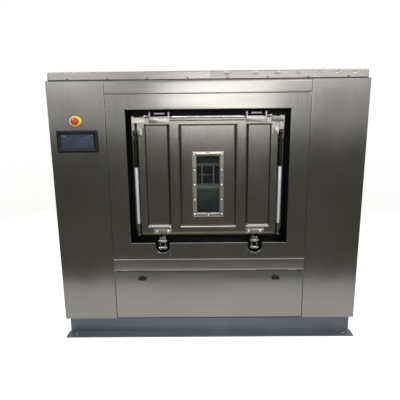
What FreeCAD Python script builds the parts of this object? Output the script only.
import FreeCAD, Part
import math
import os

# Barrier washer: a laundry machine set in a wall, loaded from one room and unloaded in the next.
# Millimetres, +Z up. The loading side faces -Y. The origin is on the floor under the middle of the machine.

V = FreeCAD.Vector

# Cabinet sheet metal and the tube frame behind it
cabinet_width = 2000.0
cabinet_depth = 1400.0
column_width = 358.0
column_height = 1591.0
sheet = 2.0
fold_depth = 20.0
panel_gap = 2.0
post_size = 40.0
post_wall = 3.0
rail_plate = 8.0
lid_height = 52.0
lid_gap = 4.0
lid_inset = 18.0
lid_screw_count = 8
lid_screw_rise = 10.0
screw_radius = 3.0
screw_head_radius = 5.0
screw_head_height = 2.5

# Base frame with its floor flanges
base_height = 105.0
base_inset = 32.0
base_plate = 8.0
base_flange = 70.0
flange_overhang = 14.0
base_top_flange = 80.0
carrier_width = 140.0
anchor_radius = 9.0
anchor_from_end = 60.0
anchor_from_edge = 38.0

# Panels between the columns, from the top down
header_height = 76.0
surround_height = 1071.0
surround_fold = 25.0
seam_width = 1.2
seam_depth = 0.6
ledge_height = 83.0
ledge_stand = 6.0
service_lift = 6.0
service_gap = 4.0
surround_side = 121.0
opening_height = 873.0
opening_drop = 92.0
notch_radius = 50.0
notch_drop = 69.0

# Tub mouth, bellows and door seal
mouth_recess = 100.0
mouth_plate = 10.0
mouth_rim = 20.0
bellows_margin = 14.0
bellows_wall = 4.0
bellows_bulge = 18.0
seal_depth = 12.0
seal_width = 18.0
seal_inset = 6.0

# Loading door
door_side = 66.0
door_sill_gap = 44.0
door_drop = 54.0
door_recess = 50.0
door_lap = 50.0
door_wall = 3.0
door_corner = 22.0
rail_height = 40.0
sill_height = 52.0
stile_width = 46.0
rib_width = 54.0
rib_gap = 87.0
pan_depth = 25.0
pan_slope = 7.0
drain_radius = 3.0

# Window in the loading door
window_width = 152.0
window_height = 382.0
window_rise = 147.0
window_border = 28.0
window_plate = 8.0
glass_thickness = 8.0
glass_lap = 10.0
bolt_radius = 4.0
bolt_head_radius = 7.0
bolt_head_height = 5.0
bolt_rows = 5

# Door hinges: saddles with ears on the door, lugs on the tub mouth
hinge_rise = 28.0
hinge_setback = 10.0
hinge_inset = 143.0
saddle_width = 130.0
saddle_plate = 5.0
saddle_drop = 27.0
saddle_reach = 30.0
ear_plate = 8.0
ear_top = 10.0
ear_back = 14.0
hinge_rod_radius = 6.0
hinge_rod_overhang = 3.0
lug_width = 18.0
lug_radius = 12.0
lug_gap = 4.0
top_bar_radius = 6.0
top_bar_gap = 20.0

# Lift arms and gas springs
gas_gap = 19.0
gas_radius = 13.0
gas_tube_length = 440.0
gas_tube_neck = 22.0
gas_bore_depth = 330.0
gas_rod_radius = 6.0
gas_rod_hold = 60.0
gas_foot_rise = 5.0
gas_foot_back = 25.0
arm_radius = 123.0
arm_plate = 6.0
arm_tail = 20.0
arm_top = 13.0
arm_tab_width = 86.0
arm_tab_height = 30.0
arm_depth = 40.0
eye_radius = 12.0
eye_width = 20.0
eye_pin_radius = 5.0
nut_radius = 9.0
nut_height = 12.0
foot_plate = 8.0
foot_half_height = 18.0
stile_pad_width = 32.0
stile_pad_height = 47.0
stile_pad_depth = 10.0
stile_pad_drop = 61.0
door_swing_angle = 85.0

# Latches under the door
latch_inset = 145.0
strike_width = 122.0
strike_height = 30.0
strike_depth = 12.0
strike_rise = 11.0
strike_bolt_inset = 14.0
latch_travel = 30.0
latch_gap = 9.0
nose_height = 14.0
nose_depth = 16.0
cheek_offset = 14.0
cheek_plate = 6.0
cheek_height = 86.0
cheek_depth = 62.0
latch_pin_radius = 6.0
latch_pin_length = 57.0
latch_pin_drop = 27.0
latch_pin_pitch = 48.0
roller_radius = 10.0
tongue_width = 12.0
tongue_height = 12.0
tongue_drop = 40.0
slot_clear = 4.0
rail_guide_width = 8.0
rail_guide_depth = 40.0
air_cylinder_size = 36.0
air_cylinder_length = 78.0
latch_rod_radius = 5.0
latch_rod_hold = 30.0

# Tub and its suspension
drum_axis_height = 1000.0
tub_clear = 41.0
tub_wall = 5.0
tub_end_gap = 30.0
tub_end_wall = 8.0
suspension_height = 195.0
foot_inset = 64.0
foot_spread_y = 400.0
foot_length = 160.0
foot_flange = 12.0
foot_web = 20.0
air_spring_radius = 48.0
air_spring_bulge = 20.0
air_spring_slope = 26.0

# Drum, its sliding doors and lifters
drum_radius = 534.0
drum_wall = 4.0
drum_length = 1120.0
drum_head = 6.0
hatch_width = 680.0
hatch_centre_angle = 12.5
hatch_span_angle = 66.0
hatch_lap_angle = 2.0
hatch_side_lap = 21.6
hatch_plate = 4.0
hatch_travel_angle = 68.0
half_turn_angle = 180.0
guide_width = 10.0
guide_lip = 16.0
guide_plate = 6.0
guide_end_angle = 2.0
lifter_width = 96.0
lifter_height = 120.0
lifter_tip = 36.0

# Shaft, bearings, pulleys, belt, motor and drain
shaft_radius = 45.0
shaft_hole = 60.0
shaft_end = 26.0
housing_radius = 110.0
housing_flange_radius = 150.0
housing_flange = 16.0
housing_length = 90.0
bearing_radius = 80.0
bearing_length = 64.0
pulley_gap = 10.0
pulley_width = 60.0
pulley_radius = 300.0
pulley_rim = 20.0
pulley_web = 14.0
pulley_hub_radius = 75.0
motor_pulley_radius = 75.0
belt_width = 50.0
belt_thickness = 10.0
motor_drop = 700.0
motor_radius = 105.0
motor_length = 370.0
motor_inset = 104.0
motor_shaft_radius = 19.0
motor_shaft_hold = 60.0
motor_saddle_width = 180.0
motor_saddle_length = 240.0
motor_saddle_depth = 66.0
drain_x = -200.0
drain_body_radius = 55.0
drain_body_drop = 90.0
drain_pipe_radius = 38.0
drain_pipe_bore = 34.0
drain_pipe_length = 60.0

# Controls and panel locks
hmi_width = 260.0
hmi_height = 140.0
hmi_offset = 175.0
hmi_drop = 365.0
hmi_bezel = 12.0
hmi_body_inset = 10.0
hmi_body_depth = 46.0
screen_width = 206.0
screen_height = 86.0
screen_thickness = 3.0
screen_recess = 1.5
estop_offset = 172.0
estop_drop = 239.0
collar_radius = 31.0
collar_height = 12.0
barrel_radius = 15.0
barrel_depth = 45.0
cap_radius = 25.0
cap_height = 20.0
cap_round = 8.0
cap_stand = 8.0
stem_radius = 11.0
stem_hold = 18.0
press_travel = 4.0
lock_inset = 188.0
lock_drop = 57.0
lock_length = 54.0
lock_width = 33.0
lock_height = 9.0
lock_grip_width = 12.0
lock_grip_height = 8.0
lock_shaft_radius = 8.0
lock_shaft_length = 16.0
lock_cam_length = 40.0
lock_cam_width = 14.0
lock_cam_plate = 4.0

# Water inlets and cable gland on the lid
inlet_count = 3
inlet_from_end = 222.0
inlet_pitch = 110.0
inlet_y = 460.0
inlet_radius = 16.7
inlet_bore = 12.0
inlet_height = 50.0
inlet_collar_radius = 26.0
inlet_collar_height = 14.0
gland_gap = 140.0

# Clearances
running_clear = 0.4
hinge_clear = 0.15
bearing_clear = 0.05
fit_clear = 0.2
belt_clear = 0.4
soft_clear = 0.3

# Lines worked out from the sizes above
side = cabinet_width / 2
face = -cabinet_depth / 2
face_back = face + sheet
column_inner = side - column_width
column_top = base_height + column_height
hmi_z = column_top - hmi_drop
estop_z = column_top - estop_drop
rail_top = column_top + lid_gap
lid_top = rail_top + lid_height
bay_half = column_inner - panel_gap
header_top = column_top - panel_gap
surround_top = header_top - header_height - panel_gap
surround_bottom = surround_top - surround_height
ledge_top = surround_bottom - panel_gap
ledge_bottom = ledge_top - ledge_height
service_top = ledge_bottom - panel_gap
service_bottom = base_height + service_lift
opening_half = bay_half - surround_side
opening_top = surround_top - opening_drop
opening_bottom = opening_top - opening_height
notch_centre = opening_bottom - notch_drop + notch_radius
mouth_y = face + mouth_recess
mouth_back = mouth_y + mouth_plate
door_half = opening_half - door_side
latch_x = door_half - latch_inset
gas_x = door_half + gas_gap
lock_x = bay_half - lock_inset
door_top = opening_top - door_drop
door_bottom = opening_bottom + door_sill_gap
door_front = face + door_recess
door_back = mouth_y - seal_depth - running_clear
mouth_half = door_half - door_lap
mouth_top = door_top - door_lap
mouth_bottom = door_bottom + door_lap
pan_face = door_front + pan_depth
hinge_y = door_front + hinge_setback
hinge_z = door_top + hinge_rise
hinge_x = door_half - hinge_inset
rib_x = window_width / 2 + window_border + rib_gap + rib_width / 2
drum_inner = drum_radius - drum_wall
tub_inner = drum_radius + tub_clear
tub_outer = tub_inner + tub_wall
tub_end = drum_length / 2 + drum_head + tub_end_gap
tub_side = tub_end + tub_end_wall
axle = V(0, 0, drum_axis_height)
foot_x = tub_side - foot_inset
motor_end = tub_side - motor_inset
inlet_first_x = lid_inset + inlet_from_end - side
gland_x = inlet_first_x + (inlet_count - 1) * inlet_pitch + gland_gap
foot_z = base_height + suspension_height


def box(x0, x1, y0, y1, z0, z1):
    """A block between two corners."""
    return Part.makeBox(x1 - x0, y1 - y0, z1 - z0, V(x0, y0, z0))


def rod(radius, start, end):
    """A round bar from one point to another."""
    axis = end.sub(start)
    return Part.makeCylinder(radius, axis.Length, start, axis)


def tube(outer, inner, start, end):
    """A round pipe from one point to another."""
    return rod(outer, start, end).cut(rod(inner, start, end))


def prism_x(points, x0, x1):
    """A polygon of (y, z) points carried along X."""
    corners = [V(x0, y, z) for y, z in points]
    outline = Part.makePolygon(corners + corners[:1])
    return Part.Face(outline).extrude(V(x1 - x0, 0, 0))


def frame(half, bottom, top, border, y0, y1):
    """A flat rectangular ring that stands upright, border wide, outside the given inner edges."""
    outer = box(-half - border, half + border, y0, y1, bottom - border, top + border)
    return outer.cut(box(-half, half, y0, y1, bottom, top))


def joined(first, *others):
    """One clean solid from several that meet."""
    return first.multiFuse(list(others)).removeSplitter()


def mirrored(shape):
    """The same shape on the other side of the machine."""
    return shape.mirror(V(0, 0, 0), V(1, 0, 0))


def pair(shape):
    """A shape and its mirror image."""
    return [shape, mirrored(shape)]


def to_rear(shape):
    """The same shape turned half round, for the unloading side."""
    turned = shape.copy()
    turned.rotate(V(0, 0, 0), V(0, 0, 1), half_turn_angle)
    return turned


def both_ends(shapes):
    """The shapes of the loading side with those of the unloading side."""
    return list(shapes) + [to_rear(shape) for shape in shapes]


def drum_arc(x0, x1, inner, outer, start, end):
    """A curved plate round the drum axis; angles in degrees run from -Y upwards."""
    corners = [V(x0, -outer, 0), V(x1, -outer, 0), V(x1, -inner, 0), V(x0, -inner, 0)]
    flat = Part.Face(Part.makePolygon(corners + corners[:1]))
    flat.translate(axle)
    flat.rotate(axle, V(-1, 0, 0), start)
    return flat.revolve(axle, V(-1, 0, 0), end - start)


def save(node, shapes):
    """Write one node, as one solid or a group of them."""
    Part.makeCompound(list(shapes)).exportStep("parts/" + node + ".step")


def base_frame():
    """Welded floor frame: two flanged beams, two side beams and the carriers under the suspension."""
    half = side - base_inset
    beam = box(-half, half, face, face + base_plate, 0, base_height)
    beam = beam.fuse(box(-half - flange_overhang, half + flange_overhang,
                         face - base_flange, face + base_plate, 0, base_plate))
    beam = beam.fuse(box(-half, half, face, face + base_top_flange, base_height - base_plate, base_height))
    for shift in (-1, 1):
        centre = V(shift * (half + flange_overhang - anchor_from_end), face - base_flange + anchor_from_edge, 0)
        beam = beam.cut(rod(anchor_radius, centre, centre + V(0, 0, base_plate)))
    end = box(half - base_plate, half, face, -face, 0, base_height)
    reach = carrier_width / 2
    carrier = box(foot_x - reach, foot_x + reach, face, -face, 0, base_height)
    carrier = carrier.cut(box(foot_x - reach + base_plate, foot_x + reach - base_plate,
                              face, -face, 0, base_height - base_plate))
    return joined(beam, to_rear(beam), *(pair(end) + pair(carrier)))


def post(x0, y0, top):
    """A square tube that stands on the base frame."""
    outer = box(x0, x0 + post_size, y0, y0 + post_size, base_height, top)
    return outer.cut(box(x0 + post_wall, x0 + post_size - post_wall,
                         y0 + post_wall, y0 + post_size - post_wall, base_height, top))


def cabinet_frame():
    """Tube frame: corner and bay posts, top rails and the cross rail behind each ledge strip."""
    rail_bottom = rail_top - post_size
    inside = side - sheet
    posts = pair(post(inside - post_size, face_back, rail_bottom))
    posts += pair(post(column_inner - post_size, face_back, rail_bottom))
    rail = box(-inside, inside, face_back, face_back + post_size, rail_bottom, rail_top)
    rail = rail.cut(box(-inside, inside, face_back + post_wall, face_back + post_size - post_wall,
                        rail_bottom + post_wall, rail_top - post_wall))
    cross = box(-column_inner + post_size, column_inner - post_size, face_back, face_back + rail_plate,
                ledge_bottom, ledge_bottom + post_size)
    end = box(inside - rail_plate, inside, face_back + post_size, -face_back - post_size, rail_bottom, rail_top)
    pieces = both_ends(posts + [rail, cross]) + pair(end)
    return joined(*pieces)


def column():
    """Folded panel at the right of the loading side."""
    panel = box(column_inner, side, face, face_back, base_height, column_top)
    panel = panel.fuse(box(side - sheet, side, face, face + fold_depth, base_height, column_top))
    inner = box(column_inner, column_inner + sheet, face, face + fold_depth,
                base_height, rail_top - post_size - panel_gap)
    return joined(panel, inner)


def estop_hole(shape):
    """Hole in a left column for the barrel of the stop button."""
    centre = V(-side + estop_offset, face, estop_z)
    return shape.cut(rod(barrel_radius + fit_clear, centre, centre + V(0, fold_depth, 0)))


def hmi_hole(shape):
    """Cut-out in the left column for the body of the touch panel."""
    centre = -side + hmi_offset
    half_width = hmi_width / 2 - hmi_body_inset + fit_clear
    half_height = hmi_height / 2 - hmi_body_inset + fit_clear
    return shape.cut(box(centre - half_width, centre + half_width, face, face + fold_depth,
                         hmi_z - half_height, hmi_z + half_height))


def side_panel():
    """Flat panel on the right side, between the folds of the columns."""
    reach = -face - fold_depth - panel_gap
    return box(side - sheet, side, -reach, reach, base_height, column_top)


def top_cover():
    """Shallow lid turned down on all sides, with a lip that rests on the top rails."""
    half = side - lid_inset
    lid = box(-half, half, face, -face, rail_top, lid_top)
    lid = lid.cut(box(-half + sheet, half - sheet, face_back, -face_back, rail_top + sheet, lid_top - sheet))
    lid = lid.cut(box(-half + fold_depth, half - fold_depth, face + fold_depth, -face - fold_depth,
                      rail_top, rail_top + sheet))
    for x in inlet_places() + [gland_x]:
        lid = lid.cut(rod(inlet_radius + fit_clear, V(x, inlet_y, rail_top), V(x, inlet_y, lid_top)))
    for x in lid_screw_places():
        hole = rod(screw_radius + fit_clear, V(x, face, rail_top + lid_screw_rise),
                   V(x, face + sheet, rail_top + lid_screw_rise))
        lid = lid.cut(hole).cut(to_rear(hole))
    return lid


def inlet_places():
    """Places along the lid of the water and steam inlets."""
    return [inlet_first_x + i * inlet_pitch for i in range(inlet_count)]


def lid_screw_places():
    """Places along the lid's front skirt of its screws."""
    pitch = (cabinet_width - 2 * lid_inset) / lid_screw_count
    return [-side + lid_inset + (i + 0.5) * pitch for i in range(lid_screw_count)]


def lid_screws():
    """Pan-head screws through the lid's skirt."""
    screws = []
    for x in lid_screw_places():
        z = rail_top + lid_screw_rise
        head = rod(screw_head_radius, V(x, face - screw_head_height, z), V(x, face, z))
        screws.append(joined(head, rod(screw_radius, V(x, face, z), V(x, face + fold_depth / 2, z))))
    return screws


def header_strip():
    """Plain strip between the columns, above the surround."""
    return box(-bay_half, bay_half, face, face_back, header_top - header_height, header_top)


def ledge_strip():
    """Sloped strip under the surround that sheds drips past the service panel."""
    lip = face - ledge_stand
    profile = [(face, ledge_top), (lip, ledge_bottom), (face_back, ledge_bottom),
               (face_back, ledge_bottom + sheet), (lip + sheet, ledge_bottom + sheet), (face_back, ledge_top)]
    return prism_x(profile, -bay_half, bay_half)


def opening_block(grow, depth):
    """The space of the door opening with its two latch notches, grown by a margin."""
    half = opening_half + grow
    bottom = opening_bottom - grow
    top = opening_top + grow
    reach = notch_radius + grow
    start = V(-half, face, bottom)
    edges = []
    for x in (-latch_x, latch_x):
        left = V(x - reach, face, bottom)
        right = V(x + reach, face, bottom)
        drop = V(0, 0, notch_centre - bottom)
        round_end = Part.Arc(left + drop, V(x, face, notch_centre - reach), right + drop).toShape()
        edges += [Part.makeLine(start, left), Part.makeLine(left, left + drop), round_end,
                  Part.makeLine(right + drop, right)]
        start = right
    corners = [start, V(half, face, bottom), V(half, face, top), V(-half, face, top), V(-half, face, bottom)]
    edges += [Part.makeLine(one, two) for one, two in zip(corners, corners[1:])]
    return Part.Face(Part.Wire(edges)).extrude(V(0, depth, 0))


def surround():
    """Sheet with the door opening, turned inwards along the opening's edge."""
    plate = box(-bay_half, bay_half, face, face_back, surround_bottom, surround_top)
    for seam in pair(box(opening_half + sheet, bay_half, face, face + seam_depth,
                         opening_top, opening_top + seam_width)):
        plate = plate.cut(seam)
    plate = plate.cut(opening_block(0, surround_fold))
    return joined(plate, opening_block(sheet, surround_fold).cut(opening_block(0, surround_fold)))


def service_panel(locked):
    """Lift-off panel in front of the motor, with holes for its locks where it has them."""
    half = bay_half - service_gap
    panel = box(-half, half, face, face_back, service_bottom, service_top)
    if locked:
        for x in (-lock_x, lock_x):
            z = service_top - lock_drop
            panel = panel.cut(rod(lock_shaft_radius + running_clear, V(x, face, z), V(x, face_back, z)))
    return panel


def panel_lock(x):
    """Oval quarter-turn lock with a finger grip in front and a cam behind the panel."""
    z = service_top - lock_drop
    outer = face - lock_height
    gap = face - running_clear
    radius = lock_width / 2
    reach = lock_length / 2 - radius
    plate = box(x - reach, x + reach, outer, gap, z - radius, z + radius)
    for centre in (x - reach, x + reach):
        plate = plate.fuse(rod(radius, V(centre, outer, z), V(centre, gap, z)))
    grip = box(x - lock_length / 2 + lock_grip_width, x + lock_length / 2 - lock_grip_width,
               outer - lock_grip_height, outer, z - lock_grip_width / 2, z + lock_grip_width / 2)
    shaft = rod(lock_shaft_radius, V(x, gap, z), V(x, gap + lock_shaft_length, z))
    cam_y = gap + lock_shaft_length
    cam = box(x - lock_cam_width / 2, x + lock_cam_width / 2, cam_y - lock_cam_plate, cam_y,
              z, z + lock_cam_length)
    return joined(plate, grip, shaft, cam)


def hmi_housing():
    """Touch panel: a bezel in front of the column and a body through it."""
    x = -side + hmi_offset
    bezel = box(x - hmi_width / 2, x + hmi_width / 2, face - hmi_bezel, face,
                hmi_z - hmi_height / 2, hmi_z + hmi_height / 2)
    half_width = hmi_width / 2 - hmi_body_inset
    half_height = hmi_height / 2 - hmi_body_inset
    body = box(x - half_width, x + half_width, face, face + hmi_body_depth,
               hmi_z - half_height, hmi_z + half_height)
    seat = box(x - screen_width / 2, x + screen_width / 2, face - hmi_bezel,
               face - hmi_bezel + screen_recess + screen_thickness,
               hmi_z - screen_height / 2, hmi_z + screen_height / 2)
    return joined(bezel, body).cut(seat)


def hmi_screen():
    """Glass of the touch panel, set back in its bezel."""
    x = -side + hmi_offset
    outer = face - hmi_bezel + screen_recess
    return box(x - screen_width / 2, x + screen_width / 2, outer, outer + screen_thickness,
               hmi_z - screen_height / 2, hmi_z + screen_height / 2)


def estop_collar():
    """Round yellow collar of the stop button with the contact barrel behind it."""
    centre = V(-side + estop_offset, face, estop_z)
    collar = rod(collar_radius, centre - V(0, collar_height, 0), centre)
    barrel = rod(barrel_radius, centre, centre + V(0, barrel_depth, 0))
    bore_end = centre + V(0, stem_hold + press_travel + running_clear, 0)
    bore = rod(stem_radius + running_clear, centre - V(0, collar_height, 0), bore_end)
    return joined(collar, barrel).cut(bore)


def estop_button():
    """Mushroom cap on its stem."""
    centre = V(-side + estop_offset, face - collar_height - cap_stand, estop_z)
    cap = rod(cap_radius, centre - V(0, cap_height, 0), centre)
    rim = [e for e in cap.Edges if e.CenterOfMass.y < centre.y - cap_height + fit_clear and e.Closed]
    cap = cap.makeFillet(cap_round, rim)
    stem = rod(stem_radius, centre, V(centre.x, face + stem_hold, centre.z))
    return joined(cap, stem)


def inlet_stub(x):
    """Threaded pipe stub with a collar that rests on the lid."""
    low = V(x, inlet_y, rail_top)
    high = V(x, inlet_y, lid_top + inlet_height)
    collar = rod(inlet_collar_radius, V(x, inlet_y, lid_top), V(x, inlet_y, lid_top + inlet_collar_height))
    return joined(rod(inlet_radius, low, high), collar).cut(rod(inlet_bore, low, high))


def bellows_ring(half, bottom, top, wide):
    """A rectangle in the XZ plane, wider by a margin, as one wire at y = 0."""
    corners = [V(-half - wide, 0, bottom - wide), V(half + wide, 0, bottom - wide),
               V(half + wide, 0, top + wide), V(-half - wide, 0, top + wide)]
    return Part.makePolygon(corners + corners[:1])


def bellows():
    """Rubber skirt with one fold from the surround to the tub mouth."""
    half = opening_half + bellows_margin
    bottom = opening_bottom - notch_drop - bellows_margin
    top = opening_top + bellows_margin
    start = face_back
    end = mouth_y - soft_clear
    skins = []
    for wall in (bellows_wall, 0):
        rings = []
        for y, wide in ((start, 0), ((start + end) / 2, bellows_bulge), (end, 0)):
            ring = bellows_ring(half, bottom, top, wide + wall)
            ring.translate(V(0, y, 0))
            rings.append(ring)
        skins.append(Part.makeLoft(rings, True, True))
    return skins[0].cut(skins[1])


def air_spring(x, y):
    """Rubber air spring with two folds under a tub foot; each fold slopes out, runs upright and slopes back."""
    low = base_height
    high = foot_z - soft_clear
    middle = (low + high) / 2
    neck = air_spring_radius
    belly = neck + air_spring_bulge
    corners = [V(0, 0, low)]
    for start, end in ((low, middle), (middle, high)):
        corners += [V(neck, 0, start), V(belly, 0, start + air_spring_slope),
                    V(belly, 0, end - air_spring_slope)]
    corners += [V(neck, 0, high), V(0, 0, high), V(0, 0, low)]
    spring = Part.Face(Part.makePolygon(corners)).revolve(V(0, 0, 0), V(0, 0, 1), 2 * half_turn_angle)
    spring.translate(V(x, y, 0))
    return spring


def tub_vessel():
    """Round vessel with a wall at each end, bored for the shafts and the drain."""
    vessel = rod(tub_outer, axle - V(tub_side, 0, 0), axle + V(tub_side, 0, 0))
    vessel = vessel.cut(rod(tub_inner, axle - V(tub_end, 0, 0), axle + V(tub_end, 0, 0)))
    vessel = vessel.cut(rod(shaft_hole, axle - V(tub_side, 0, 0), axle + V(tub_side, 0, 0)))
    floor = V(drain_x, 0, drum_axis_height)
    return vessel.cut(rod(drain_body_radius, floor - V(0, 0, tub_outer), floor))


def tub_ends():
    """The two cups that close the tub beside its mouths."""
    low = drum_axis_height - tub_outer
    high = drum_axis_height + tub_outer
    vessel = tub_vessel()
    return [vessel.common(box(-tub_side, -mouth_half, -tub_outer, tub_outer, low, high)),
            vessel.common(box(mouth_half, tub_side, -tub_outer, tub_outer, low, high))]


def tub_shell():
    """The tub between its ends: the roof above the mouths, and four floor sheets that meet at the drain."""
    low = drum_axis_height - tub_outer
    high = drum_axis_height + tub_outer
    vessel = tub_vessel()
    middle = vessel.common(box(-mouth_half, mouth_half, -tub_outer, tub_outer, low, high))
    sheets = middle.cut(box(-mouth_half, mouth_half, -tub_outer, tub_outer, low, mouth_top)).Solids
    for x0, x1 in ((-mouth_half, drain_x), (drain_x, mouth_half)):
        sheets.append(vessel.common(box(x0, x1, -tub_outer, 0, low, mouth_bottom)))
        sheets.append(vessel.common(box(x0, x1, 0, tub_outer, low, mouth_bottom)))
    return sheets


def mouth_neck():
    """Four plates that lead from the tub's round wall to the front mouth plate."""
    side = mouth_half + tub_wall
    plates = [box(-side, side, mouth_back, 0, mouth_top, mouth_top + tub_wall),
              box(-side, side, mouth_back, 0, mouth_bottom - tub_wall, mouth_bottom),
              box(-side, -mouth_half, mouth_back, 0, mouth_bottom, mouth_top),
              box(mouth_half, side, mouth_back, 0, mouth_bottom, mouth_top)]
    vessel = rod(tub_outer, axle - V(tub_side, 0, 0), axle + V(tub_side, 0, 0))
    return [plate.cut(vessel) for plate in plates]


def mouth_frame():
    """Black-coated plate round the tub mouth that carries the hinges, gas springs and latches."""
    half = opening_half + bellows_margin + mouth_rim
    bottom = opening_bottom - notch_drop - bellows_margin - mouth_rim
    top = opening_top + bellows_margin + mouth_rim
    plate = box(-half, half, mouth_y, mouth_back, bottom, top)
    plate = plate.cut(box(-mouth_half, mouth_half, mouth_y, mouth_back, mouth_bottom, mouth_top))
    low = tongue_top() - tongue_height - slot_clear
    high = tongue_top() + latch_travel + slot_clear
    reach = tongue_width / 2 + slot_clear
    for x in (-latch_x, latch_x):
        plate = plate.cut(box(x - reach, x + reach, mouth_y, mouth_back, low, high))
    return plate


def tub_foot():
    """Foot under the tub: a flange on the air spring and a web cut to the tub's round."""
    y0 = foot_spread_y - foot_length / 2
    y1 = foot_spread_y + foot_length / 2
    flange = box(foot_x - carrier_width / 2, foot_x + carrier_width / 2, y0, y1,
                 foot_z, foot_z + foot_flange)
    web = box(foot_x - foot_web / 2, foot_x + foot_web / 2, y0, y1,
              foot_z + foot_flange, drum_axis_height)
    return joined(flange, web).cut(rod(tub_outer, axle - V(tub_side, 0, 0), axle + V(tub_side, 0, 0)))


def hinge_lugs():
    """Two bored lugs on the mouth plate for the right hinge rod."""
    lugs = []
    span = saddle_width / 2 - ear_plate - lug_width - lug_gap
    for x0 in (hinge_x - span - lug_width, hinge_x + span):
        arm = box(x0, x0 + lug_width, hinge_y, mouth_y, hinge_z - lug_radius, hinge_z + lug_radius)
        nose = rod(lug_radius, V(x0, hinge_y, hinge_z), V(x0 + lug_width, hinge_y, hinge_z))
        bore = rod(hinge_rod_radius + hinge_clear, V(x0, hinge_y, hinge_z), V(x0 + lug_width, hinge_y, hinge_z))
        lugs.append(joined(arm, nose).cut(bore))
    return lugs


def gas_foot():
    """Where the lower end of a gas spring turns, as (y, z)."""
    return mouth_y - gas_foot_back, door_bottom - gas_foot_rise


def gas_top():
    """Where the upper end of a gas spring meets the lift arm with the door shut, as (y, z)."""
    return hinge_y, hinge_z - arm_radius


def gas_bracket():
    """Bracket with a pin on the mouth plate for the lower end of the right gas spring."""
    y, z = gas_foot()
    x0 = gas_x + eye_width / 2 + running_clear
    plate = box(x0, x0 + foot_plate, y - eye_radius, mouth_y, z - foot_half_height, z + foot_half_height)
    return joined(plate, rod(eye_pin_radius, V(gas_x - eye_width / 2, y, z), V(x0, y, z)))


def along_gas(distance):
    """A point on the right gas spring's axis, measured up from its lower end."""
    y0, z0 = gas_foot()
    y1, z1 = gas_top()
    length = math.hypot(y1 - y0, z1 - z0)
    return V(gas_x, y0 + (y1 - y0) * distance / length, z0 + (z1 - z0) * distance / length)


def gas_length(swing):
    """Distance between the ends of a gas spring with the door opened by an angle in degrees."""
    y0, z0 = gas_foot()
    turn = math.radians(swing)
    y1 = hinge_y - arm_radius * math.sin(turn)
    z1 = hinge_z - arm_radius * math.cos(turn)
    return math.hypot(y1 - y0, z1 - z0)


def gas_tube():
    """Cylinder of the right gas spring, with the eye at its foot."""
    y, z = gas_foot()
    eye_start = V(gas_x - eye_width / 2, y, z)
    eye_end = V(gas_x + eye_width / 2, y, z)
    body = rod(gas_radius, along_gas(gas_tube_neck), along_gas(gas_tube_neck + gas_tube_length))
    neck = rod(nut_radius, along_gas(0), along_gas(gas_tube_neck))
    whole = joined(rod(eye_radius, eye_start, eye_end), neck, body)
    whole = whole.cut(rod(eye_pin_radius + hinge_clear, eye_start, eye_end))
    top = gas_tube_neck + gas_tube_length
    return whole.cut(rod(gas_rod_radius + running_clear, along_gas(top - gas_bore_depth), along_gas(top)))


def gas_rod():
    """Piston rod of the right gas spring, with its nut and the ball-joint eye at the lift arm."""
    length = gas_length(0)
    stroke = gas_length(door_swing_angle) - length
    start = gas_tube_neck + gas_tube_length - stroke - gas_rod_hold
    y, z = gas_top()
    bar = rod(gas_rod_radius, along_gas(start), along_gas(length))
    nut = rod(nut_radius, along_gas(length - eye_radius - nut_height), along_gas(length))
    eye = rod(eye_radius, V(gas_x - eye_width / 2, y, z), V(gas_x + eye_width / 2, y, z))
    return joined(bar, nut, eye)


def lift_arm():
    """Bracket on the door's right top corner that reaches down to the gas spring."""
    x0 = gas_x + eye_width / 2 + running_clear
    front = door_front - saddle_plate
    y, z = gas_top()
    plate = box(x0, x0 + arm_plate, front, front + arm_depth, z - arm_tail, door_top + arm_top)
    tab = box(x0 + arm_plate - arm_tab_width, x0 + arm_plate, front, door_front,
              door_top - arm_tab_height, door_top + saddle_plate)
    return joined(plate, tab)


def stile_pad():
    """Stop pad screwed to the front of the door's right stile."""
    return box(door_half - stile_pad_width, door_half, door_front - stile_pad_depth, door_front,
               door_top - stile_pad_drop - stile_pad_height, door_top - stile_pad_drop)


def pan_block(x0, x1, grow):
    """Space of one pressed pan in the door's front: sloped at all four sides."""
    bottom = door_bottom + sill_height
    top = door_top - rail_height
    wires = []
    for y, inset in ((door_front, -grow), (pan_face + grow, pan_slope - grow)):
        corners = [V(x0 + inset, y, bottom + inset), V(x1 - inset, y, bottom + inset),
                   V(x1 - inset, y, top - inset), V(x0 + inset, y, top - inset)]
        wires.append(Part.makePolygon(corners + corners[:1]))
    return Part.makeLoft(wires, True, True)


def pan_spans():
    """Left and right edges of the three pans between the stiles and ribs."""
    inner = door_half - stile_width
    rib_in = rib_x - rib_width / 2
    rib_out = rib_x + rib_width / 2
    return [(-inner, -rib_out), (-rib_in, rib_in), (rib_out, inner)]


def door_blank(inset):
    """Outline block of the door with its two lower corners rounded."""
    blank = box(-door_half + inset, door_half - inset, door_front + inset, door_back - inset,
                door_bottom + inset, door_top - inset)
    corners = []
    for edge in blank.Edges:
        middle = edge.CenterOfMass
        if abs(middle.z - door_bottom - inset) < inset + fit_clear and abs(middle.x) > door_half / 2:
            corners.append(edge)
    return blank.makeFillet(door_corner - inset, corners)


def window_bottom():
    """Lower edge of the visible glass."""
    return door_bottom + window_rise


def window_bolt_places():
    """Bolts round the window frame: a row at the top and bottom and a line up each side."""
    x = window_width / 2 + window_border / 2
    low = window_bottom() - window_border / 2
    pitch = (window_height + window_border) / (bolt_rows - 1)
    places = []
    for row in range(bolt_rows):
        places += [(-x, low + row * pitch), (x, low + row * pitch)]
    places += [(0, low), (0, low + (bolt_rows - 1) * pitch)]
    return places


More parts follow.
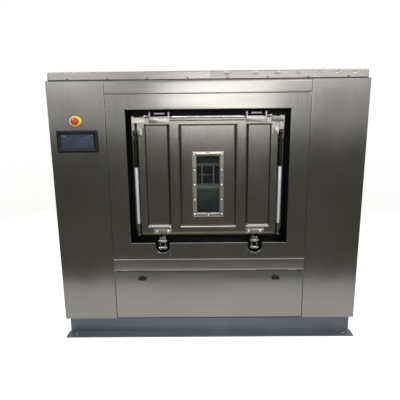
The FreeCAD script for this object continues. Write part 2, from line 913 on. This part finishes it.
def door_panel():
    """Pressed door: hollow rails, stiles and ribs round three pans, with the seat for the glass."""
    panel = door_blank(0)
    hollow = door_blank(door_wall)
    for x0, x1 in pan_spans():
        panel = panel.cut(pan_block(x0, x1, 0))
        hollow = hollow.cut(box(x0 - door_wall, x1 + door_wall, door_front, door_back,
                                door_bottom + sill_height - door_wall, door_top - rail_height + door_wall))
    panel = panel.cut(hollow)
    for x in (-latch_x, latch_x):
        foot = V(x, (door_front + door_back) / 2, door_bottom)
        panel = panel.cut(rod(drain_radius, foot, foot + V(0, 0, sill_height / 2)))
    half = window_width / 2
    low = window_bottom()
    panel = panel.cut(box(-half, half, door_front, door_back, low, low + window_height))
    lap = glass_lap + fit_clear
    panel = panel.cut(box(-half - lap, half + lap, pan_face, pan_face + glass_thickness,
                          low - lap, low + window_height + lap))
    for x, z in window_bolt_places():
        panel = panel.cut(rod(bolt_radius + fit_clear, V(x, pan_face, z), V(x, door_back, z)))
    return panel


def window_frame():
    """Bright frame bolted over the glass."""
    low = window_bottom()
    ring = frame(window_width / 2, low, low + window_height, window_border, pan_face - window_plate, pan_face)
    for x, z in window_bolt_places():
        ring = ring.cut(rod(bolt_radius + fit_clear, V(x, pan_face - window_plate, z), V(x, pan_face, z)))
    return ring


def window_glass():
    """Toughened pane behind the frame."""
    half = window_width / 2 + glass_lap
    low = window_bottom()
    return box(-half, half, pan_face, pan_face + glass_thickness,
               low - glass_lap, low + window_height + glass_lap)


def window_bolts():
    """Round-head bolts of the window frame."""
    bolts = []
    for x, z in window_bolt_places():
        seat = V(x, pan_face - window_plate, z)
        head = rod(bolt_head_radius, seat - V(0, bolt_head_height, 0), seat)
        bolts.append(joined(head, rod(bolt_radius, seat, V(x, door_back, z))))
    return bolts


def hinge_saddle():
    """Angle over the door's top edge with two ears for the right hinge rod."""
    x0 = hinge_x - saddle_width / 2
    x1 = hinge_x + saddle_width / 2
    front = door_front - saddle_plate
    profile = [(front, door_top - saddle_drop), (door_front, door_top - saddle_drop), (door_front, door_top),
               (front + saddle_reach, door_top), (front + saddle_reach, door_top + saddle_plate),
               (front, door_top + saddle_plate)]
    saddle = prism_x(profile, x0, x1)
    for ear_x in (x0, x1 - ear_plate):
        saddle = saddle.fuse(box(ear_x, ear_x + ear_plate, front, hinge_y + ear_back,
                                 door_top, hinge_z + ear_top))
    hole = rod(hinge_rod_radius + fit_clear, V(x0, hinge_y, hinge_z), V(x1, hinge_y, hinge_z))
    return saddle.removeSplitter().cut(hole)


def hinge_rod():
    """Rod through the ears of the right hinge."""
    reach = saddle_width / 2 + hinge_rod_overhang
    return rod(hinge_rod_radius, V(hinge_x - reach, hinge_y, hinge_z), V(hinge_x + reach, hinge_y, hinge_z))


def top_bar():
    """Round stiffening bar along the top of the door, between the hinges."""
    z = door_top + top_bar_radius
    reach = hinge_x - saddle_width / 2 - top_bar_gap
    return rod(top_bar_radius, V(-reach, hinge_y, z), V(reach, hinge_y, z))


def strike_pad():
    """Block on the door's sill that the right latch holds, with two bolt heads."""
    low = door_bottom + strike_rise
    front = door_front - strike_depth
    half = strike_width / 2
    pad = box(latch_x - half, latch_x + half, front, door_front, low, low + strike_height)
    for shift in (-1, 1):
        x = latch_x + shift * (half - strike_bolt_inset)
        z = low + strike_height / 2
        pad = pad.fuse(rod(bolt_head_radius, V(x, front - screw_head_height, z), V(x, front, z)))
    return pad.removeSplitter()


def nose_y():
    """Back of the latch nose, just in front of the strike pad and its bolt heads."""
    return door_front - strike_depth - screw_head_height - running_clear


def latch_top():
    """Top of the latch nose when it is released."""
    return door_bottom - latch_gap


def tongue_top():
    """Top of the tongue that drives the latch through the mouth plate."""
    return latch_top() - tongue_drop


def latch_carriage():
    """Right latch: two cheeks with a nose between them, and the tongue to its air cylinder."""
    top = latch_top()
    back = nose_y()
    front = back - nose_depth
    bottom = top - cheek_height
    shoulder = door_bottom - latch_travel - latch_gap
    deep = front + cheek_depth
    profile = [(front, bottom), (deep, bottom), (deep, shoulder), (back, shoulder),
               (back, top - nose_height / 2), (front, top - nose_height / 2)]
    cheek = prism_x(profile, latch_x + cheek_offset, latch_x + cheek_offset + cheek_plate)
    other = cheek.copy()
    other.translate(V(-2 * cheek_offset - cheek_plate, 0, 0))
    reach = cheek_offset + cheek_plate
    nose = box(latch_x - reach, latch_x + reach, front, back, top - nose_height, top)
    bridge = box(latch_x - reach, latch_x + reach, deep - tongue_height, deep,
                 tongue_top() - tongue_height, tongue_top())
    end_y = mouth_back + air_cylinder_size / 2
    tongue = box(latch_x - tongue_width / 2, latch_x + tongue_width / 2, deep - tongue_height,
                 end_y + latch_rod_radius, tongue_top() - tongue_height, tongue_top())
    stem = rod(latch_rod_radius, V(latch_x, end_y, air_cylinder_top() - latch_travel - latch_rod_hold),
               V(latch_x, end_y, tongue_top() - tongue_height))
    carriage = joined(cheek, other, nose, bridge, tongue, stem)
    for y, z in latch_pin_places():
        hole = rod(latch_pin_radius + fit_clear, V(latch_x - reach, y, z), V(latch_x + reach, y, z))
        carriage = carriage.cut(hole)
    return carriage


def latch_pin_places():
    """Where the two cross pins of a latch lie, as (y, z)."""
    y = nose_y() - nose_depth / 2
    first = latch_top() - latch_pin_drop
    return [(y, first), (y, first - latch_pin_pitch)]


def latch_pins():
    """Cross pins of the right latch, each with a roller between the cheeks."""
    pins = []
    for y, z in latch_pin_places():
        half = latch_pin_length / 2
        roll = cheek_offset - running_clear
        pin = rod(latch_pin_radius, V(latch_x - half, y, z), V(latch_x + half, y, z))
        pins.append(joined(pin, rod(roller_radius, V(latch_x - roll, y, z), V(latch_x + roll, y, z))))
    return pins


def air_cylinder_top():
    """Top of the air cylinder under the tongue of a released latch."""
    return tongue_top() - tongue_height - running_clear


def latch_mount():
    """Right latch's fixed side: two guide rails before the mouth plate and the air cylinder behind it."""
    inner = cheek_offset + cheek_plate + running_clear
    rails = []
    for x0 in (latch_x + inner, latch_x - inner - rail_guide_width):
        rails.append(box(x0, x0 + rail_guide_width, mouth_y - rail_guide_depth, mouth_y,
                         latch_top() - cheek_height, latch_top()))
    top = air_cylinder_top()
    half = air_cylinder_size / 2
    body = box(latch_x - half, latch_x + half, mouth_back, mouth_back + air_cylinder_size,
               top - air_cylinder_length, top)
    centre = mouth_back + half
    bore_depth = latch_travel + latch_rod_hold + running_clear
    bore = rod(latch_rod_radius + running_clear, V(latch_x, centre, top - bore_depth), V(latch_x, centre, top))
    return rails + [body.cut(bore)]


def bearing_housing():
    """Flanged housing on the tub's right end."""
    start = axle + V(tub_side, 0, 0)
    flange = rod(housing_flange_radius, start, start + V(housing_flange, 0, 0))
    body = rod(housing_radius, start, start + V(housing_length, 0, 0))
    whole = joined(flange, body).cut(rod(shaft_hole, start, start + V(housing_length, 0, 0)))
    seat = start + V(housing_flange, 0, 0)
    return whole.cut(rod(bearing_radius, seat, start + V(housing_length, 0, 0)))


def bearing():
    """Roller bearing in the right housing."""
    seat = axle + V(tub_side + housing_flange, 0, 0)
    return tube(bearing_radius, shaft_radius + bearing_clear, seat, seat + V(bearing_length, 0, 0))


def drum_shell():
    """Drum wall with a hatch opening towards each room."""
    half = drum_length / 2
    shell = tube(drum_radius, drum_inner, axle - V(half, 0, 0), axle + V(half, 0, 0))
    start = hatch_centre_angle - hatch_span_angle / 2
    cut = drum_arc(-hatch_width / 2, hatch_width / 2, drum_inner - drum_wall, drum_radius + drum_wall,
                   start, start + hatch_span_angle)
    return shell.cut(cut).cut(to_rear(cut))


def drum_head_plate(shaft_length):
    """Right end plate of the drum with its stub shaft."""
    start = axle + V(drum_length / 2, 0, 0)
    plate = rod(drum_radius, start, start + V(drum_head, 0, 0))
    return joined(plate, rod(shaft_radius, start, start + V(drum_head + shaft_length, 0, 0)))


def hatch_edges():
    """Angles of the lower and upper edge of the shut loading hatch."""
    half = hatch_span_angle / 2 + hatch_lap_angle
    return hatch_centre_angle - half, hatch_centre_angle + half


def drum_hatch(start, end):
    """Curved door that slides along the inside of the drum wall."""
    outer = drum_inner - running_clear
    half = hatch_width / 2 + hatch_side_lap
    return drum_arc(-half, half, outer - hatch_plate, outer, start, end)


def hatch_guide(start, end):
    """Right-hand guide of a sliding hatch: a block on the drum wall with a lip under the hatch."""
    edge = hatch_width / 2 + hatch_side_lap + running_clear
    seat = drum_inner - hatch_plate - 2 * running_clear
    block = drum_arc(edge, edge + guide_width, seat - guide_plate, drum_inner, start, end)
    lip = drum_arc(edge - guide_lip, edge, seat - guide_plate, seat, start, end)
    return joined(block, lip)


def lifter(angle):
    """Tapered rib along the drum wall, between the runs of the two hatches."""
    inner = drum_inner
    half = drum_length / 2
    foot = math.sqrt(inner ** 2 - (lifter_width / 2) ** 2)
    tip = inner - lifter_height
    outline = [V(-half, -lifter_width / 2, -foot), V(-half, lifter_width / 2, -foot),
               V(-half, lifter_tip / 2, -tip), V(-half, -lifter_tip / 2, -tip)]
    rib = Part.Face(Part.makePolygon(outline + outline[:1])).extrude(V(drum_length, 0, 0))
    rib.rotate(V(0, 0, 0), V(-1, 0, 0), angle + half_turn_angle / 2)
    rib.translate(axle)
    return rib


def pulley_start():
    """Inner face of the pulleys along X."""
    return tub_side + housing_length + pulley_gap


def drum_pulley():
    """Large pulley on the drum's right shaft."""
    x0 = pulley_start()
    start = axle + V(x0, 0, 0)
    end = start + V(pulley_width, 0, 0)
    rim = tube(pulley_radius, pulley_radius - pulley_rim, start, end)
    middle = start + V((pulley_width - pulley_web) / 2, 0, 0)
    web = rod(pulley_radius - pulley_rim, middle, middle + V(pulley_web, 0, 0))
    hub = rod(pulley_hub_radius, start, end)
    return joined(rim, web, hub).cut(rod(shaft_radius, start, end))


def belt_outline(grow):
    """Closed line round both pulleys at a distance from their rims, in the YZ plane."""
    upper = pulley_radius + grow
    lower = motor_pulley_radius + grow
    lean = (pulley_radius - motor_pulley_radius) / motor_drop
    across = math.sqrt(1 - lean ** 2)
    high = drum_axis_height
    low = drum_axis_height - motor_drop
    right_high = V(0, upper * across, high - upper * lean)
    left_high = V(0, -upper * across, high - upper * lean)
    right_low = V(0, lower * across, low - lower * lean)
    left_low = V(0, -lower * across, low - lower * lean)
    edges = [Part.Arc(left_high, V(0, 0, high + upper), right_high).toShape(),
             Part.makeLine(right_high, right_low),
             Part.Arc(right_low, V(0, 0, low - lower), left_low).toShape(),
             Part.makeLine(left_low, left_high)]
    return Part.Wire(edges)


def drive_belt():
    """Flat-backed belt from the motor to the drum."""
    x0 = pulley_start() + (pulley_width - belt_width) / 2
    outer = Part.Face(belt_outline(belt_clear + belt_thickness)).extrude(V(belt_width, 0, 0))
    inner = Part.Face(belt_outline(belt_clear)).extrude(V(belt_width, 0, 0))
    belt = outer.cut(inner)
    belt.translate(V(x0, 0, 0))
    return belt


def motor():
    """Motor under the tub with the saddle that bolts it to the tub's round."""
    centre = V(motor_end, 0, drum_axis_height - motor_drop)
    body = rod(motor_radius, centre - V(motor_length, 0, 0), centre)
    bore = rod(motor_shaft_radius + bearing_clear, centre - V(motor_shaft_hold + running_clear, 0, 0), centre)
    middle = motor_end - motor_length / 2
    saddle = box(middle - motor_saddle_length / 2, middle + motor_saddle_length / 2,
                 -motor_saddle_width / 2, motor_saddle_width / 2,
                 centre.z + motor_radius - motor_saddle_depth, drum_axis_height)
    saddle = saddle.cut(rod(tub_outer, axle - V(tub_side, 0, 0), axle + V(tub_side, 0, 0)))
    return joined(body, saddle).cut(bore)


def motor_pulley():
    """Small pulley and the motor's shaft."""
    centre = V(motor_end - motor_shaft_hold, 0, drum_axis_height - motor_drop)
    x0 = pulley_start()
    start = V(x0, 0, centre.z)
    end = V(x0 + pulley_width, 0, centre.z)
    return joined(rod(motor_shaft_radius, centre, end), rod(motor_pulley_radius, start, end))


def drain_valve():
    """Drain valve body let into the tub floor, with its outlet pipe."""
    top = V(drain_x, 0, drum_axis_height)
    low = drum_axis_height - tub_outer - drain_body_drop
    body = rod(drain_body_radius, V(drain_x, 0, low), top)
    body = body.cut(rod(tub_inner, axle - V(tub_side, 0, 0), axle + V(tub_side, 0, 0)))
    pipe = rod(drain_pipe_radius, V(drain_x, 0, low - drain_pipe_length), V(drain_x, 0, low))
    bore = rod(drain_pipe_bore, V(drain_x, 0, low - drain_pipe_length), top)
    return joined(body, pipe).cut(bore)


def door_seal():
    """Rubber seal on the mouth plate that the shut door lies on."""
    inset = seal_inset
    return frame(mouth_half + inset, mouth_bottom - inset, mouth_top + inset, seal_width,
                 mouth_y - seal_depth, mouth_y)


def build_cabinet():
    """The standing cabinet and what is fixed to it."""
    save("base_frame", [base_frame()])
    save("cabinet_frame", [cabinet_frame()])
    right = column()
    left = estop_hole(mirrored(right))
    save("front_left_column", [hmi_hole(left)])
    save("front_right_column", [right])
    save("rear_columns", [to_rear(left), to_rear(right)])
    save("side_panels", pair(side_panel()))
    save("top_cover", [top_cover()])
    save("top_cover_screws", both_ends(lid_screws()))
    save("trim_strips", both_ends([header_strip(), ledge_strip()]))
    save("front_surround", [surround()])
    save("rear_surround", [to_rear(surround())])
    save("front_service_panel", [service_panel(True)])
    save("rear_service_panel", [to_rear(service_panel(False))])
    save("front_lock_left", [panel_lock(-lock_x)])
    save("front_lock_right", [panel_lock(lock_x)])
    save("hmi_housing", [hmi_housing()])
    save("hmi_screen", [hmi_screen()])
    save("estop_collars", both_ends([estop_collar()]))
    save("front_estop_button", [estop_button()])
    save("rear_estop_button", [to_rear(estop_button())])
    save("top_connections", [inlet_stub(x) for x in inlet_places() + [gland_x]])
    save("door_bellows", both_ends([bellows()]))
    springs = [air_spring(foot_x, foot_spread_y), air_spring(-foot_x, foot_spread_y)]
    save("air_springs", both_ends(springs))


def build_tub():
    """The suspended tub, the drum in it and the drive."""
    save("tub_ends", tub_ends())
    save("tub_shell", tub_shell() + both_ends(mouth_neck()))
    save("mouth_frames", both_ends([mouth_frame()]))
    save("tub_feet", both_ends(pair(tub_foot())))
    brackets = hinge_lugs() + [gas_bracket()]
    save("mouth_brackets", both_ends(brackets + [mirrored(shape) for shape in brackets]))
    mounts = latch_mount()
    save("latch_mounts", both_ends(mounts + [mirrored(shape) for shape in mounts]))
    save("door_seals", both_ends([door_seal()]))
    save("bearing_housings", pair(bearing_housing()))
    save("bearings", pair(bearing()))
    save("motor", [motor()])
    save("drain_valve", [drain_valve()])
    save("drive_belt", [drive_belt()])
    save("motor_pulley", [motor_pulley()])
    save("drum_shell", [drum_shell()])
    inside = pulley_start() - drum_length / 2 - drum_head
    driven = drum_head_plate(inside + pulley_width + shaft_end)
    idle = mirrored(drum_head_plate(inside - pulley_gap + shaft_end))
    save("drum_heads", [driven, idle])
    save("drum_pulley", [drum_pulley()])
    low, high = hatch_edges()
    save("front_drum_door", [drum_hatch(low, high)])
    save("rear_drum_door", [drum_hatch(half_turn_angle - high, half_turn_angle - low)])
    guide = hatch_guide(low - guide_end_angle, high + hatch_travel_angle + guide_end_angle)
    rear_guide = hatch_guide(half_turn_angle - high - guide_end_angle,
                             half_turn_angle - low + hatch_travel_angle + guide_end_angle)
    save("drum_door_guides", pair(guide) + pair(rear_guide))
    gap_centre = (hatch_travel_angle + half_turn_angle) / 2
    save("drum_lifters", [lifter(gap_centre), lifter(gap_centre + half_turn_angle)])


def build_doors():
    """The two loading doors with their hinges, gas springs and latches."""
    saddles = pair(hinge_saddle())
    bars = pair(hinge_rod()) + [top_bar()]
    arms = pair(lift_arm()) + pair(stile_pad())
    strikes = pair(strike_pad())
    latches = pair(latch_carriage())
    for pin in latch_pins():
        latches += pair(pin)
    fittings = [window_frame()] + window_bolts() + saddles + bars + arms + strikes
    save("front_door_panel", [door_panel()])
    save("front_window_frame", [window_frame()])
    save("front_window_glass", [window_glass()])
    save("front_window_bolts", window_bolts())
    save("front_hinge_saddles", saddles)
    save("front_hinge_rods", bars)
    save("front_lift_arms", arms)
    save("front_strike_pads", strikes)
    save("front_gas_tubes", pair(gas_tube()))
    save("front_gas_rods", pair(gas_rod()))
    save("front_latches", latches)
    save("rear_door_panel", [to_rear(door_panel())])
    save("rear_window_glass", [to_rear(window_glass())])
    save("rear_door_fittings", [to_rear(shape) for shape in fittings])
    save("rear_gas_tubes", [to_rear(shape) for shape in pair(gas_tube())])
    save("rear_gas_rods", [to_rear(shape) for shape in pair(gas_rod())])
    save("rear_latches", [to_rear(shape) for shape in latches])


os.makedirs("parts", exist_ok=True)
build_cabinet()
build_tub()
build_doors()
print("hinge axis y, z:", hinge_y, hinge_z)
print("gas spring foot y, z:", gas_foot())
print("gas spring length shut and open:", gas_length(0), gas_length(door_swing_angle))
